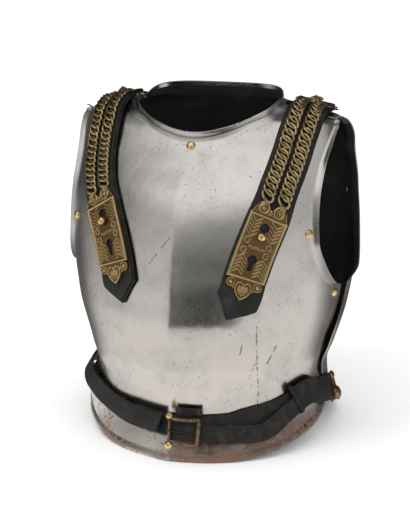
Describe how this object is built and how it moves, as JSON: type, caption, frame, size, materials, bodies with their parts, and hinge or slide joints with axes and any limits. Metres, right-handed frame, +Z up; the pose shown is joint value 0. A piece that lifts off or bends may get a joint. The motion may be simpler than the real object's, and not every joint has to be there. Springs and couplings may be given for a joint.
{
  "type": "cuirass",
  "caption": "Steel cuirass: breastplate and backplate joined by chain-covered shoulder straps and a buckled leather waist belt.",
  "frame": {"origin": "under the middle of the whole cuirass, on the level of the breastplate's foot", "axes": "+Z up from the foot to the shoulders, -Y the way the breast faces, +X the wearer's left"},
  "size_m": [0.3536, 0.319, 0.4195],
  "materials": {
    "steel": "polished, lightly pitted",
    "brass": "aged",
    "chain": "dark aged",
    "copper": "dull",
    "leather": "worn"
  },
  "bodies": {
    "root": {"breastplate": "steel", "backplate": "steel", "neck_rivet": "brass", "arm_rivet_left": "brass", "arm_rivet_right": "brass", "back_arm_rivet_left": "brass", "back_arm_rivet_right": "brass", "belt_backing": "leather", "belt_keeper": "leather", "belt_plate_left": "copper", "belt_plate_right": "copper", "belt_strap_left": "leather", "belt_strap_right": "leather", "belt_tab": "leather", "buckle_frame": "brass", "buckle_tongue": "copper", "chain_left_inner": "chain", "chain_left_outer": "chain", "chain_right_inner": "chain", "chain_right_outer": "chain", "shoulder_strap_left": "leather", "shoulder_strap_right": "leather", "side_rivet_left": "brass", "side_rivet_right": "brass", "strap_end_plate_left": "brass", "strap_end_plate_right": "brass", "strap_end_rivet_left": "brass", "strap_end_rivet_right": "brass", "strap_lining_left": "leather", "strap_lining_right": "leather", "strap_plate_left": "brass", "strap_plate_right": "brass", "strap_stud_left": "brass", "strap_stud_right": "brass"}
  },
  "joints": []
}
